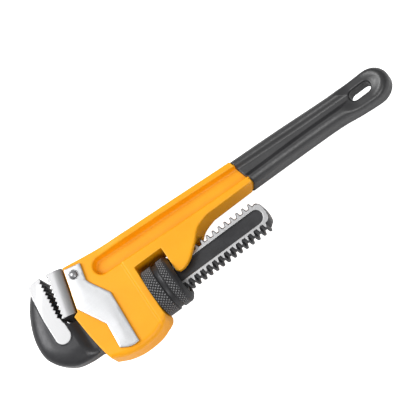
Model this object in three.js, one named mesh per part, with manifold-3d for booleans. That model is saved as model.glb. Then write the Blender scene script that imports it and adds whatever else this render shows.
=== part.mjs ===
// Straight pipe wrench, 350 mm nominal size, lying on its side with the jaws nearly closed.
//
// Design axes, in millimetres: X runs from the jaws (-X) to the end of the handle (+X) along the
// threaded shank, Y runs across the wrench towards the back of the handle, and Z is the thickness.
// Y = 0 and Z = 0 lie on the axis of the adjusting nut. The finished group is then moved so that
// the origin is the centre of the underside of the whole tool.
import * as THREE from 'three';
import Module from 'manifold-3d';
import { mergeVertices } from 'three/addons/utils/BufferGeometryUtils.js';

const wasm = await Module();
wasm.setup();

// ---- driving dimensions ------------------------------------------------------------------

const GAP = 0.3; // between pieces that touch
const PITCH = 5.08; // five threads to the inch

const HEAD = { half: 11, top: 54.3, bottom: -28.5, front: -119.4, back: -65.3 };
const BEAM = { half: 9.5, taperStart: -60, taperEnd: 30, round: 3 };
const WINDOW = { front: HEAD.back, rear: -42.3, roof: 21.8 };
const PASSAGE = { bottom: -13, roof: 16.4, half: 6.5, clawRoof: 14.6 };
const WEB = { half: 4.5 };

const GRIP = { half: 10.7, coat: 1.2, channelFloor: 7.2, channelInset: 1.3, round: 3.4 };
const HANDLE_END = { x: 139, y: 28.2, reach: 15, radius: 12 };
const SLEEVE_END = { x: 30.5, y: 32, leanY: 0.25, leanZ: 0.3 };
const SLOT = { x: 131.2, y: 28.4, length: 17, width: 8 };

const SHANK = { half: 6, plain: 11.2, tip: 12.4, root: 9.4, rackStart: -69, rackEnd: 27, endHalf: 10, end: 31.4 };
const CHANNEL = { half: 5.3, start: -60, end: 22.3, depth: 1.2 };
const ARM = { half: 10, face: -127.9 };
const THROAT = { x: -121, y: 22, radius: 7.1, startAngle: -1.5, endAngle: -2.83 };
const TOOTH = { depth: 1.6, count: 10 };

const NUT = { radius: 18.25, bore: 12.9, front: -64.6, rear: -43.4, ridge: 0.95, ridgeCentre: 12.7 };

const HEEL = { half: 10, tongueHalf: 5, tongueBack: -96.5 };
const PIN = { x: -103.3, y: 44, radius: 2.4, headRadius: 3.6, headHeight: 1.9 };
const PLATE = { floor: 10.3, thickness: 1.2 };

const LEAF = { front: -111, rear: -69, low: 12.8, thickness: 0.7, bow: 0.6, half: 5 };
const COIL = { x: -88, radius: 3.3, wire: 0.7, turns: 5, low: 14.9, high: 24.2, pocket: 4.9, pocketRoof: 27 };

// The middle of the wrench's box in Y, and its lowest point, the rim of the nut.
const ORIGIN = { x: 0, y: 14.85, z: -NUT.radius };

// ---- solids --------------------------------------------------------------------------------

// A closed three.js geometry as a manifold solid.
function solid(geometry) {
  geometry.deleteAttribute('normal');
  geometry.deleteAttribute('uv');
  const merged = mergeVertices(geometry, 1e-4);
  const mesh = new wasm.Mesh({
    numProp: 3,
    vertProperties: new Float32Array(merged.attributes.position.array),
    triVerts: new Uint32Array(merged.index.array),
  });
  return new wasm.Manifold(mesh);
}

// A manifold solid as a three.js geometry.
function geometryOf(body) {
  const mesh = body.getMesh();
  const geometry = new THREE.BufferGeometry();
  geometry.setAttribute('position', new THREE.BufferAttribute(Float32Array.from(mesh.vertProperties), 3));
  geometry.setIndex(new THREE.BufferAttribute(Uint32Array.from(mesh.triVerts), 1));
  geometry.computeVertexNormals();
  return geometry;
}

// A shape in the XY plane given a thickness from low to high in Z.
function slab(shape, low, high, curveSegments = 8) {
  const geometry = new THREE.ExtrudeGeometry(shape, {
    depth: high - low,
    bevelEnabled: false,
    curveSegments,
  });
  return solid(geometry.translate(0, 0, low));
}

// A shape in the XY plane, 2 * half thick, whose edges are rounded inwards by `round`.
function roundedSlab(shape, half, round, curveSegments = 8) {
  const geometry = new THREE.ExtrudeGeometry(shape, {
    depth: 2 * (half - round),
    bevelEnabled: true,
    bevelThickness: round,
    bevelSize: round,
    bevelOffset: -round,
    bevelSegments: 3,
    curveSegments,
  });
  return solid(geometry.translate(0, 0, round - half));
}

// The same shape from low to high above the middle plane, or as far below it where side is -1.
function sideSlab(shape, side, low, high, curveSegments = 8) {
  return slab(shape, Math.min(side * low, side * high), Math.max(side * low, side * high), curveSegments);
}

function box(x0, x1, y0, y1, z0, z1) {
  const geometry = new THREE.BoxGeometry(x1 - x0, y1 - y0, z1 - z0);
  return solid(geometry.translate((x0 + x1) / 2, (y0 + y1) / 2, (z0 + z1) / 2));
}

function cylinderZ(x, y, radius, half, sides = 24) {
  const geometry = new THREE.CylinderGeometry(radius, radius, 2 * half, sides);
  return solid(geometry.rotateX(Math.PI / 2).translate(x, y, 0));
}

// A profile of (radius, height) points turned about the Y axis.
function turned(profile, sides) {
  const points = profile.map(([radius, height]) => new THREE.Vector2(radius, height));
  return new THREE.LatheGeometry(points, sides);
}

function vectors(points) {
  return points.map(([x, y]) => new THREE.Vector2(x, y));
}

function polygon(points) {
  return new THREE.Shape(vectors(points));
}

// A slot with round ends, long in X.
function slotShape(x, y, length, width) {
  const reach = (length - width) / 2;
  const shape = new THREE.Shape();
  shape.absarc(x + reach, y, width / 2, -Math.PI / 2, Math.PI / 2, false);
  shape.absarc(x - reach, y, width / 2, Math.PI / 2, (3 * Math.PI) / 2, false);
  shape.closePath();
  return shape;
}

// Points of a row of pointed jaw teeth from a to b, cut `depth` into the side that `inward` faces.
function jawTeeth(a, b, count, inward) {
  const points = [];
  for (let i = 0; i < count; i += 1) {
    const tip = i / count;
    const valley = (i + 0.5) / count;
    points.push([a[0] + (b[0] - a[0]) * tip, a[1] + (b[1] - a[1]) * tip]);
    points.push([
      a[0] + (b[0] - a[0]) * valley + inward * TOOTH.depth,
      a[1] + (b[1] - a[1]) * valley,
    ]);
  }
  points.push(b);
  return points;
}

// ---- handle casting --------------------------------------------------------------------------

// Upper and lower edges of the part of the beam that the sleeve covers, drawn in by `inset`
// from the outside of the sleeve, and closed by the half ellipse at the end of the handle.
function sleeveEdge(shape, inset, startX) {
  const top = [[66, 41.8], [108, 39.2], [125, 39.2], [HANDLE_END.x, HANDLE_END.y + HANDLE_END.radius]];
  const under = [[125, 17.3], [108, 19.6], [80, 20.5], [startX, 21.1]];
  shape.splineThru(vectors(top.map(([x, y]) => [x, y - inset])));
  const { x: endX, y: endY, reach, radius } = HANDLE_END;
  shape.absellipse(endX, endY, reach - inset, radius - inset, Math.PI / 2, -Math.PI / 2, true);
  shape.splineThru(vectors(under.map(([x, y]) => [x, y + inset])));
}

// The sleeve, or the beam inside it, as one slab with rounded edges from startX to the handle's end.
function sleeveSlab(inset, startX, half, round) {
  const outline = new THREE.Shape();
  outline.moveTo(startX, 44 - inset);
  sleeveEdge(outline, inset, startX);
  outline.closePath();
  return roundedSlab(outline, half, round, 6);
}

// Side view of the bare casting: head, nut window open towards -Y, rear claw and beam.
function castingShape() {
  const shape = new THREE.Shape();
  shape.moveTo(-108.1, HEAD.top);
  shape.splineThru(vectors([[-72.7, 49.4], [-24, 46.5], [40, 42.8]]));
  shape.lineTo(40, 21.7);
  shape.lineTo(-3, 21.6);
  shape.splineThru(vectors([[-13, 18.2], [-21, 10.6], [-30, 3], [-36, 0.3], [-40.5, 0.2]]));
  shape.lineTo(WINDOW.rear, 2);
  shape.lineTo(WINDOW.rear, WINDOW.roof);
  shape.lineTo(WINDOW.front, WINDOW.roof);
  shape.lineTo(HEAD.back, -18);
  shape.splineThru(vectors([[-68.5, -22.6], [-78, -27], [-92, HEAD.bottom], [-104, -27.6], [-112.4, -24.8]]));
  shape.splineThru(vectors([[-114.7, -17], [-117.6, 2], [HEAD.front, 19.4]]));
  shape.lineTo(-115.6, 20.7);
  shape.closePath();
  return shape;
}

// The hollow along each side of the beam, drawn in by `inset`.
function hollowShape(inset) {
  const shape = new THREE.Shape();
  shape.moveTo(-83.4, 31.2 + inset);
  shape.absarc(-83.4, 38.1, 6.9 - inset, -Math.PI / 2, Math.PI / 2, true);
  shape.splineThru(vectors([[-24, 41.9 - inset], [28, 38.8 - inset], [80, 35.8 - inset], [108, 34 - inset]]));
  shape.absarc(108, 29.6, 4.4 - inset, Math.PI / 2, -Math.PI / 2, true);
  shape.splineThru(vectors([[80, 26 + inset], [28, 26.2 + inset], [-24, 28 + inset], [-83.4, 31.2 + inset]]));
  return shape;
}

// Side faces of the casting: parallel at the head and closing in along the beam.
function thicknessWedge() {
  const head = HEAD.half;
  const beam = BEAM.half;
  const shape = polygon([
    [-170, -head], [BEAM.taperStart, -head], [BEAM.taperEnd, -beam], [170, -beam],
    [170, beam], [BEAM.taperEnd, beam], [BEAM.taperStart, head], [-170, head],
  ]);
  const geometry = new THREE.ExtrudeGeometry(shape, { depth: 140, bevelEnabled: false });
  return solid(geometry.rotateX(Math.PI / 2).translate(0, 90, 0));
}

// Outline of the tongue that locates the heel jaw in the head, drawn in by `inset`.
function tongueShape(inset, front) {
  return polygon([
    [front, 26 + inset], [HEEL.tongueBack - 6 - inset, 26 + inset], [HEEL.tongueBack - inset, 34 + inset],
    [HEEL.tongueBack - inset, 49 - inset], [front, 49 - inset],
  ]);
}

function plateShape(outset) {
  const shape = new THREE.Shape();
  const o = outset;
  shape.moveTo(-107.4 - o, 51.2 + o);
  shape.lineTo(-95.2 + o, 48.4 + o);
  shape.lineTo(-98 + o, 35.6);
  shape.lineTo(-96.6 + o, 31.9);
  shape.lineTo(-88.2 + o, 17.2);
  shape.lineTo(-90 + o, -23.4 - o);
  shape.quadraticCurveTo(-97.5, -23 - o, -103.9 - o, -19.3 - o);
  shape.lineTo(-102.5 - o, 0.1);
  shape.lineTo(-114.4 - o, 22);
  shape.closePath();
  return shape;
}

function castingBody() {
  let body = slab(castingShape(), -HEAD.half, HEAD.half, 6)
    .intersect(thicknessWedge())
    .intersect(sleeveEndCutter(-GAP))
    .add(sleeveSlab(GRIP.coat + GAP, 18, BEAM.half, BEAM.round));
  for (const side of [-1, 1]) {
    body = body
      .subtract(sideSlab(hollowShape(0), side, WEB.half, HEAD.half + 1, 5))
      .subtract(sideSlab(plateShape(GAP), side, PLATE.floor, HEAD.half + 1));
  }
  const { bottom, roof, half, clawRoof } = PASSAGE;
  const coilPocket = new THREE.CylinderGeometry(COIL.pocket, COIL.pocket, COIL.pocketRoof - 10, 20);
  return body
    .subtract(box(-130, -60, bottom, roof, -half, half))
    .subtract(box(WINDOW.rear - 2, -8, -5, clawRoof, -half, half))
    .subtract(solid(coilPocket.translate(COIL.x, (COIL.pocketRoof + 10) / 2, 0)))
    .subtract(slab(tongueShape(-GAP, -125), -HEEL.tongueHalf - GAP, HEEL.tongueHalf + GAP))
    .subtract(slab(slotShape(SLOT.x, SLOT.y, SLOT.length + 3, SLOT.width + 3), -20, 20, 6))
    .subtract(cylinderZ(PIN.x, PIN.y, PIN.radius + GAP, 20));
}

// ---- handle sleeve -----------------------------------------------------------------------------

// Everything in front of the plane where the sleeve ends. The plane leans in both Y and Z, as
// dipping leaves it, and is moved along X by `shift`.
function sleeveEndCutter(shift) {
  const geometry = new THREE.BoxGeometry(240, 300, 120).translate(-120, 0, 0);
  geometry.rotateZ(SLEEVE_END.leanY);
  geometry.rotateY(SLEEVE_END.leanZ);
  return solid(geometry.translate(SLEEVE_END.x + shift, SLEEVE_END.y, 0));
}

function gripBody() {
  let body = sleeveSlab(0, 20, GRIP.half, GRIP.round);
  for (const side of [-1, 1]) {
    body = body.subtract(sideSlab(hollowShape(GRIP.channelInset), side, GRIP.channelFloor, GRIP.half + 1, 5));
  }
  return body
    .subtract(beamCore())
    .subtract(slab(slotShape(SLOT.x, SLOT.y, SLOT.length, SLOT.width), -20, 20, 6))
    .subtract(sleeveEndCutter(0));
}

// The casting under the sleeve, a gap larger all round.
function beamCore() {
  let core = sleeveSlab(GRIP.coat, 8, BEAM.half + GAP, BEAM.round + 0.2);
  for (const side of [-1, 1]) {
    core = core.subtract(sideSlab(hollowShape(GAP), side, WEB.half + GAP, HEAD.half + 2, 5));
  }
  return core.subtract(slab(slotShape(SLOT.x, SLOT.y, SLOT.length + 2.4, SLOT.width + 2.4), -20, 20, 6));
}

// ---- hook jaw ----------------------------------------------------------------------------------

// The edge of the rack on one side of the shank, from front to rear. Tips on the -Y side
// stand opposite the gaps on the +Y side, as a single thread needs.
function rackEdge(side) {
  const tipFlat = 1.3;
  const flank = 0.9;
  const firstTip = side < 0 ? 0.27 : 0.27 + PITCH / 2;
  const points = [];
  const from = Math.ceil((SHANK.rackStart - firstTip) / PITCH);
  const to = Math.floor((SHANK.rackEnd - 1 - firstTip) / PITCH);
  for (let i = from; i <= to; i += 1) {
    const x = firstTip + i * PITCH;
    points.push([x - tipFlat / 2 - flank, side * SHANK.root]);
    points.push([x - tipFlat / 2, side * SHANK.tip]);
    points.push([x + tipFlat / 2, side * SHANK.tip]);
    points.push([x + tipFlat / 2 + flank, side * SHANK.root]);
  }
  return points;
}

function shankBody() {
  const shape = new THREE.Shape();
  shape.moveTo(-136, -SHANK.plain);
  shape.lineTo(SHANK.rackStart - 3, -SHANK.plain);
  for (const [x, y] of rackEdge(-1)) shape.lineTo(x, y);
  const reach = SHANK.end - SHANK.rackEnd;
  shape.absellipse(SHANK.rackEnd, 0, reach, SHANK.endHalf, -Math.PI / 2, Math.PI / 2, false);
  for (const [x, y] of rackEdge(1).reverse()) shape.lineTo(x, y);
  shape.lineTo(SHANK.rackStart - 3, SHANK.plain);
  shape.lineTo(-136, SHANK.plain);
  shape.closePath();
  const crest = new THREE.CylinderGeometry(SHANK.tip, SHANK.tip, 200, 36);
  let body = slab(shape, -SHANK.half, SHANK.half, 6)
    .intersect(solid(crest.rotateZ(Math.PI / 2).translate(-50, 0, 0)));
  const length = CHANNEL.end - CHANNEL.start + 2 * CHANNEL.half;
  const channel = slotShape((CHANNEL.start + CHANNEL.end) / 2, 0, length, 2 * CHANNEL.half);
  for (const side of [-1, 1]) {
    body = body.subtract(sideSlab(channel, side, SHANK.half - CHANNEL.depth, SHANK.half + 1, 6));
  }
  return body;
}

// The hook from its tip round to the neck, with a clear throat in front of the shank.
function hookShape() {
  const shape = new THREE.Shape();
  shape.moveTo(-113, -SHANK.plain + 0.1);
  shape.lineTo(-113, SHANK.plain - 0.1);
  shape.lineTo(-119.2, 13.6);
  shape.absarc(THROAT.x, THROAT.y, THROAT.radius, THROAT.startAngle, THROAT.endAngle, true);
  shape.lineTo(-128.3, 24.8);
  for (const [x, y] of jawTeeth([-128.3, 24.8], [-125.3, 56], TOOTH.count, -1)) shape.lineTo(x, y);
  shape.lineTo(-125.4, 58.2);
  shape.lineTo(-132.4, 58.2);
  shape.quadraticCurveTo(-135.2, 58, -136.9, 56);
  shape.splineThru(vectors([
    [-146, 43.2], [-152.6, 26.5], [-153.6, 11], [-148.6, 0.4], [-138.5, -8.2], [-127, -11.1],
  ]));
  shape.closePath();
  return shape;
}

// The thick arm of the hook, which carries the ground flats and the teeth.
function armShape() {
  const shape = new THREE.Shape();
  shape.moveTo(ARM.face, 56);
  shape.lineTo(-136.8, 56);
  shape.splineThru(vectors([[-145.8, 43], [-152.4, 26.5], [-153.4, 11], [-148.4, 0.6], [-140, -6.8]]));
  shape.lineTo(ARM.face, -6.8);
  return shape;
}

// The straight toothed strip of the arm, as thick as the jaw.
function faceStripShape() {
  const teeth = jawTeeth([-128.3, 24.8], [-125.3, 56], TOOTH.count, -1);
  return polygon([
    [ARM.face, 12.7], [ARM.face, 22.4], ...teeth,
    [-125.4, 58], [-134, 58], [-138.8, 31], [-139, 12.7], [-133.4, 6.7],
  ]);
}

function hookBody() {
  return slab(hookShape(), -SHANK.half, SHANK.half, 6)
    .add(roundedSlab(armShape(), ARM.half - 0.2, 4.5, 5))
    .add(slab(faceStripShape(), -ARM.half, ARM.half))
    .add(shankBody());
}

// ---- heel jaw, pin and side plates ---------------------------------------------------------------

function heelBody() {
  const teeth = jawTeeth([-127.1, 24.2], [-119.9, 56], TOOTH.count, 1);
  const block = polygon([[-116.9, 21.6], [-127, 23], ...teeth, [-119.4, 57.4], [-108.7, 54.9]]);
  const tongue = slab(tongueShape(0, -118), -HEEL.tongueHalf, HEEL.tongueHalf);
  return slab(block, -HEEL.half, HEEL.half)
    .add(tongue)
    .subtract(cylinderZ(PIN.x, PIN.y, PIN.radius + GAP, 20));
}

function plateBody(side) {
  const low = PLATE.floor + GAP;
  return sideSlab(plateShape(0), side, low, low + PLATE.thickness)
    .subtract(cylinderZ(PIN.x, PIN.y, PIN.radius + GAP, 20));
}

function pinGeometry() {
  const head = PLATE.floor + PLATE.thickness + 2 * GAP;
  const dome = [];
  for (let i = 0; i <= 4; i += 1) {
    const angle = (i / 4) * (Math.PI / 2);
    dome.push([PIN.headRadius * Math.cos(angle), head + PIN.headHeight * Math.sin(angle)]);
  }
  const upper = [[PIN.radius, head], ...dome];
  upper[upper.length - 1][0] = 0;
  const lower = upper.map(([radius, height]) => [radius, -height]).reverse();
  return turned([...lower, ...upper], 24).rotateX(Math.PI / 2).translate(PIN.x, PIN.y, 0);
}

// ---- adjusting nut and springs ---------------------------------------------------------------------

class Helix extends THREE.Curve {
  constructor(radius, lead, turns, start) {
    super();
    Object.assign(this, { radius, lead, turns, start });
  }

  getPoint(t, target = new THREE.Vector3()) {
    const angle = 2 * Math.PI * this.turns * t;
    return target.set(
      this.start + this.lead * this.turns * t,
      this.radius * Math.cos(angle),
      this.radius * Math.sin(angle),
    );
  }
}

// A round wire along a helix about the X axis.
function wire(path, radius, sides, steps) {
  const section = polygon(
    Array.from({ length: sides }, (_, i) => [
      radius * Math.cos((2 * Math.PI * i) / sides),
      radius * Math.sin((2 * Math.PI * i) / sides),
    ]),
  );
  return new THREE.ExtrudeGeometry(section, { steps, bevelEnabled: false, extrudePath: path });
}

// The ridge of the thread lies in the gaps of the rack: at Y > 0 in those of the upper edge.
function nutBody() {
  const { front, rear, radius, bore } = NUT;
  const profile = [
    [bore, front], [radius - 0.5, front], [radius, front + 0.6], [radius, front + 8.4],
    [radius - 1, front + 9], [radius - 1, front + 12], [radius, front + 12.6], [radius, rear - 3.8],
    [radius - 1.1, rear - 2.2], [radius - 2.9, rear - 0.8], [bore + 0.6, rear], [bore, rear], [bore, front],
  ];
  const ring = solid(turned(profile, 48).rotateZ(-Math.PI / 2));
  const turns = 3;
  const firstGap = 0.27 + PITCH * Math.ceil((front + 2 * NUT.ridge - 0.27) / PITCH);
  const ridge = wire(new Helix(NUT.ridgeCentre, PITCH, turns, firstGap), NUT.ridge, 8, 16 * turns);
  return ring.add(solid(ridge));
}

// A thin strip bowed towards the shank, with both ends curling away from it.
function leafBody() {
  const middle = (LEAF.front + LEAF.rear) / 2;
  const lower = [];
  for (let i = 0; i <= 8; i += 1) {
    const x = LEAF.front + ((LEAF.rear - LEAF.front) * i) / 8;
    const offset = (x - middle) / ((LEAF.rear - LEAF.front) / 2);
    lower.push([x, LEAF.low + LEAF.bow * offset * offset]);
  }
  const upper = lower.map(([x, y]) => [x, y + LEAF.thickness]).reverse();
  return slab(polygon([...lower, ...upper]), -LEAF.half, LEAF.half);
}

function coilGeometry() {
  const rise = (COIL.high - COIL.low) / COIL.turns;
  const path = new Helix(COIL.radius, rise, COIL.turns, 0);
  return wire(path, COIL.wire, 6, 14 * COIL.turns).rotateZ(Math.PI / 2).translate(COIL.x, COIL.low, 0);
}

// ---- assembly ----------------------------------------------------------------------------------------

const FINISH = {
  orangePaint: { color: 0xf8a516, roughness: 0.45, metalness: 0 },
  blackVinyl: { color: 0x2c2c2d, roughness: 0.55, metalness: 0 },
  blackSteel: { color: 0x3b3b3c, roughness: 0.5, metalness: 0.6 },
  groundSteel: { color: 0xd6d6d8, roughness: 0.3, metalness: 1 },
  springSteel: { color: 0x8f9196, roughness: 0.35, metalness: 1 },
};

const wrench = new THREE.Group();
wrench.position.set(-ORIGIN.x, -ORIGIN.y, -ORIGIN.z);

function addPiece(name, geometry, finish) {
  const mesh = new THREE.Mesh(geometry, new THREE.MeshStandardMaterial(finish));
  mesh.name = name;
  wrench.add(mesh);
}

addPiece('handle_casting', geometryOf(castingBody()), FINISH.orangePaint);
addPiece('handle_grip', geometryOf(gripBody()), FINISH.blackVinyl);
addPiece('hook_jaw', geometryOf(hookBody()), FINISH.blackSteel);
addPiece('adjusting_nut', geometryOf(nutBody()), FINISH.blackSteel);
addPiece('heel_jaw', geometryOf(heelBody()), FINISH.groundSteel);
addPiece('heel_jaw_pin', pinGeometry(), FINISH.groundSteel);
addPiece('side_plate_front', geometryOf(plateBody(1)), FINISH.groundSteel);
addPiece('side_plate_back', geometryOf(plateBody(-1)), FINISH.groundSteel);
addPiece('flat_spring', geometryOf(leafBody()), FINISH.springSteel);
addPiece('coil_spring', coilGeometry(), FINISH.springSteel);

export default wrench;
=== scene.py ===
"""A straight pipe wrench lying on its side: cast handle, dipped sleeve, two jaws, nut, plates and springs.

Sizes are millimetres in the maker's axes: X along the shank from the jaws to the handle's end,
Y across the tool and Z through its thickness, with Y = Z = 0 on the axis of the adjusting nut.
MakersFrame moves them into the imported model's frame, in metres.
"""

import itertools
import logging
import math
from dataclasses import dataclass
from enum import Enum
from typing import Callable, Sequence

import bmesh
import bpy
import numpy as np
from mathutils import Matrix, Vector
from mathutils.geometry import delaunay_2d_cdt


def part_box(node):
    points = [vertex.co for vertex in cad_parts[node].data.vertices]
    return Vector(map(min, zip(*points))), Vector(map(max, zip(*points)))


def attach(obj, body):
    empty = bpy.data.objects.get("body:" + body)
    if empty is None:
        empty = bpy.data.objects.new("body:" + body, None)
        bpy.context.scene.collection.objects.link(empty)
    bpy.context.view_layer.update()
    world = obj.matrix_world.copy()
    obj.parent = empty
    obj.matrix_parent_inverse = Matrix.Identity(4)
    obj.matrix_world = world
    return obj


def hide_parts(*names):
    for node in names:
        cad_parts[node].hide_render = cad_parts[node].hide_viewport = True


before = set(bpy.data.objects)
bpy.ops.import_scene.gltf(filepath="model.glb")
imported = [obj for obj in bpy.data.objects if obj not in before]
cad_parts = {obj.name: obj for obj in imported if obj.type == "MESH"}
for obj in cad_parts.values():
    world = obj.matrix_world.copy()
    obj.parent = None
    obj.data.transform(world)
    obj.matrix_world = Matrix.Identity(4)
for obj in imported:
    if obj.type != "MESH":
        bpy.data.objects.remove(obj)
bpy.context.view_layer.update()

logging.basicConfig(level=logging.INFO, format="%(message)s")
log = logging.getLogger("pipe_wrench")

MM = 0.001
Array = np.ndarray
Field = Callable[[Array, Array, Array], Array]
Points = Sequence[tuple[float, float]]
Colour = tuple[float, float, float]
Box = tuple[tuple[float, float, float], tuple[float, float, float]]


# ---- the maker's axes ---------------------------------------------------------------------


class MakersFrame:
    """Turns millimetres about the nut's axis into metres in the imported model's frame."""

    def __init__(self) -> None:
        """Takes the nut's axis from the middle of its packed box."""
        low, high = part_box("adjusting_nut")
        self.offset = np.array([0.0, (low.y + high.y) / 2, (low.z + high.z) / 2])

    def metres(self, points: Array) -> Array:
        """Places points.

        Args:
            points: rows of (x, y, z) in millimetres, in the maker's axes.

        Returns:
            The same rows in metres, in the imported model's frame.
        """
        return np.asarray(points, float) * MM + self.offset


PLACE = MakersFrame()


# ---- curves and outlines --------------------------------------------------------------------


def spline(points: Points, steps: int = 8) -> Array:
    """A Catmull-Rom curve: in each span, the cubic that meets both ends along their neighbours' chords.

    Args:
        points: the points it passes through.
        steps: samples in each span.

    Returns:
        Rows of (x, y), first and last points included.
    """
    knots = np.array([points[0], *points, points[-1]], float)
    p0, p1, p2, p3 = (knots[i : len(knots) - 3 + i, None] for i in range(4))
    t = np.linspace(0, 1, steps, endpoint=False)[None, :, None]
    bend = (2 * p0 - 5 * p1 + 4 * p2 - p3) * t**2 + (3 * p1 - p0 - 3 * p2 + p3) * t**3
    curve = 0.5 * (2 * p1 + (p2 - p0) * t + bend)
    return np.vstack([curve.reshape(-1, 2), knots[-1]])


def arc(centre: tuple[float, float], radii: tuple[float, float], start: float, end: float,
        steps: int = 14) -> Array:
    """An arc of an ellipse.

    Args:
        centre: its centre.
        radii: its half widths in X and Y.
        start: first angle in degrees, from +X towards +Y.
        end: last angle in degrees.
        steps: number of chords.

    Returns:
        Rows of (x, y) from start to end.
    """
    angle = np.radians(np.linspace(start, end, steps + 1))
    return np.stack([centre[0] + radii[0] * np.cos(angle), centre[1] + radii[1] * np.sin(angle)], 1)


def outline(*stretches: Points | Array) -> Array:
    """Joins stretches of points into one closed outline, without doubled corners.

    Args:
        stretches: rows of (x, y), in the order in which they follow each other.

    Returns:
        The outline's corners.
    """
    points = np.vstack([np.asarray(s, float) for s in stretches])
    step = np.linalg.norm(points - np.roll(points, 1, axis=0), axis=1)
    return points[step > 1e-6]


def level_line(start: float, end: float, y: float, count: int) -> Array:
    """Evenly spaced points on a level line, both ends included."""
    return np.stack([np.linspace(start, end, count), np.full(count, y)], 1)


def round_slot(x: float, y: float, length: float, width: float) -> Array:
    """Outline of a slot with round ends, long in X, about a middle point."""
    reach, radius = (length - width) / 2, (width / 2, width / 2)
    return outline(arc((x + reach, y), radius, -90, 90), arc((x - reach, y), radius, 90, 270))


def evenly(shape: Array, spacing: float) -> Array:
    """A closed outline with each side cut into equal lengths of about `spacing`, corners kept.

    Args:
        shape: the outline's corners.
        spacing: the length to aim for.

    Returns:
        Rows of (x, y).
    """
    sides = []
    for start, end in zip(shape, np.roll(shape, -1, axis=0)):
        count = max(1, round(float(np.hypot(*(end - start))) / spacing))
        sides.append(start + np.arange(count)[:, None] / count * (end - start))
    return np.concatenate(sides)


def drawn_in(shape: Array, inset: float) -> Array:
    """A closed outline moved inwards: each corner goes along the mitre of the two sides that meet there.

    Args:
        shape: the outline's corners.
        inset: how far the sides move.

    Returns:
        The new corners, one for each old one.
    """
    along = np.roll(shape, -1, axis=0) - shape
    along /= np.linalg.norm(along, axis=1, keepdims=True)
    area = float((shape[:, 0] * np.roll(shape[:, 1], -1) - shape[:, 1] * np.roll(shape[:, 0], -1)).sum())
    after = np.stack([-along[:, 1], along[:, 0]], 1) * np.sign(area)
    before = np.roll(after, 1, axis=0)
    mitre = (before + after) / (1 + (before * after).sum(1, keepdims=True))
    return shape + inset * mitre


def jaw_teeth(first: tuple[float, float], last: tuple[float, float], count: int, depth: float) -> Array:
    """A row of pointed teeth: tips on the line from first to last, valleys `depth` to its side in X.

    Args:
        first: the first tip.
        last: the last tip.
        count: number of gaps between tips.
        depth: how far the valleys lie from the line, signed.

    Returns:
        Rows of (x, y), one for each tip and valley.
    """
    share = np.arange(2 * count + 1)[:, None] / (2 * count)
    line = np.array(first) + share * (np.array(last) - np.array(first))
    line[1::2, 0] += depth
    return line


# ---- distance fields ---------------------------------------------------------------------------


def distance_to(shape: Array, x: Array, y: Array) -> Array:
    """Signed distance from points to a closed outline, negative inside.

    It is the least distance to any side, and its sign comes from counting the sides that a ray
    along +X crosses.

    Args:
        shape: the outline's corners.
        x: X of the points.
        y: Y of the points.

    Returns:
        The distances, in the points' common shape.
    """
    least = np.full(np.broadcast(x, y).shape, np.inf)
    inside = np.zeros(least.shape, bool)
    for (ax, ay), (bx, by) in zip(shape, np.roll(shape, -1, axis=0)):
        ex, ey = bx - ax, by - ay
        share = np.clip(((x - ax) * ex + (y - ay) * ey) / (ex * ex + ey * ey), 0, 1)
        np.minimum(least, (x - ax - share * ex) ** 2 + (y - ay - share * ey) ** 2, out=least)
        if ay != by:
            inside ^= ((ay > y) != (by > y)) & (x < ax + (y - ay) * ex / ey)
    return np.where(inside, -1, 1) * np.sqrt(least)


class Plan:
    """An outline seen along Z: its signed distance, worked out once on a fine grid and read off it."""

    def __init__(self, shape: Array, margin: float = 12.0, step: float = 0.2) -> None:
        """Fills the grid.

        Args:
            shape: the outline's corners.
            margin: how far the grid reaches past the outline.
            step: spacing of the grid.
        """
        self.step = step
        self.low = shape.min(0) - margin
        self.cells = np.ceil((shape.max(0) + margin - self.low) / step).astype(int)
        xs, ys = (self.low[i] + step * np.arange(self.cells[i] + 1) for i in (0, 1))
        self.table = distance_to(shape, xs[:, None], ys[None, :])

    def __call__(self, x: Array, y: Array) -> Array:
        """The signed distance at points, weighed between the four grid values round each.

        Args:
            x: X of the points, in millimetres.
            y: Y of the points.

        Returns:
            The distances, negative inside.
        """
        u, v = (
            np.clip((c - self.low[i]) / self.step, 0, self.cells[i] - 1e-6) for i, c in enumerate((x, y))
        )
        i, j = u.astype(int), v.astype(int)
        u, v = u - i, v - j
        near = self.table[i, j] * (1 - v) + self.table[i, j + 1] * v
        far = self.table[i + 1, j] * (1 - v) + self.table[i + 1, j + 1] * v
        return near * (1 - u) + far * u


def both(a: Array, b: Array, radius: Array | float = 0.4) -> Array:
    """Intersection of two solids, with its convex edge rounded to a radius."""
    edge = np.hypot(np.maximum(a + radius, 0), np.maximum(b + radius, 0))
    return np.minimum(np.maximum(a, b), -radius) + edge


def either(a: Array, b: Array, radius: Array | float = 0.4) -> Array:
    """Union of two solids, with its concave edge filled to a radius."""
    return -both(-a, -b, radius)


def without(a: Array, b: Array, radius: Array | float = 0.4) -> Array:
    """The first solid less the second, with the cut's rim rounded to a radius."""
    return both(a, -b, radius)


def ramp(value: Array, start: float, end: float) -> Array:
    """A smooth step: 0 at start and 1 at end, level at both. The start may be the greater."""
    t = np.clip((value - start) / (end - start), 0, 1)
    return t * t * (3 - 2 * t)


def block(x: Array, y: Array, z: Array, low: Sequence[float], high: Sequence[float]) -> Array:
    """Field of a box between two corners: the greatest of its six faces' distances."""
    faces = np.broadcast_arrays(low[0] - x, x - high[0], low[1] - y, y - high[1], low[2] - z, z - high[2])
    return np.maximum.reduce(faces)


def grid_lines(*stretches: tuple[float, float, float]) -> Array:
    """Grid lines along one axis, from stretches of (start, end, spacing) that follow each other."""
    lines = [np.linspace(a, b, max(2, round((b - a) / step)), endpoint=False) for a, b, step in stretches]
    return np.append(np.concatenate(lines), stretches[-1][1])


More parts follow.
